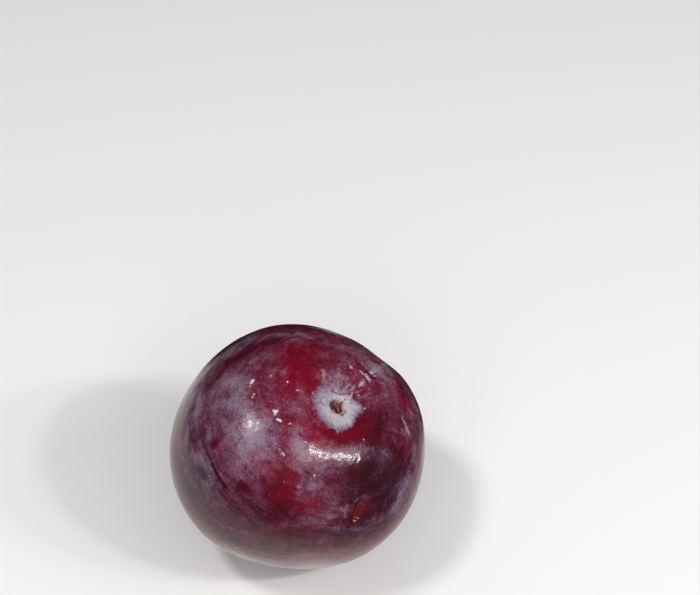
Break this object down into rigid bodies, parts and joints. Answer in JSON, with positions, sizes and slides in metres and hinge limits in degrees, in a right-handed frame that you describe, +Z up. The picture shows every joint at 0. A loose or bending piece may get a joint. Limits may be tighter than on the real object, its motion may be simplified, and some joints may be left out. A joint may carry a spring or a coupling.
{
  "type": "plum",
  "caption": "Ripe red-black plum with its stalk gone: a slightly flattened round fruit with a stem cavity, a suture down one side and a small flat spot to rest on.",
  "frame": {"origin": "on the surface the plum rests on, at the bottom centre of its bounding box", "axes": "+Z up, square to the flat spot; the stem end leans about 30 degrees from +Z towards +X and -Y, and the suture runs down the +X +Y side"},
  "size_m": [0.0626, 0.0596, 0.0584],
  "materials": {
    "skin": "thin waxy skin, dark crimson to purple under a patchy pale bloom, softly glossy"
  },
  "bodies": {
    "root": {"plum": "skin"}
  },
  "joints": []
}
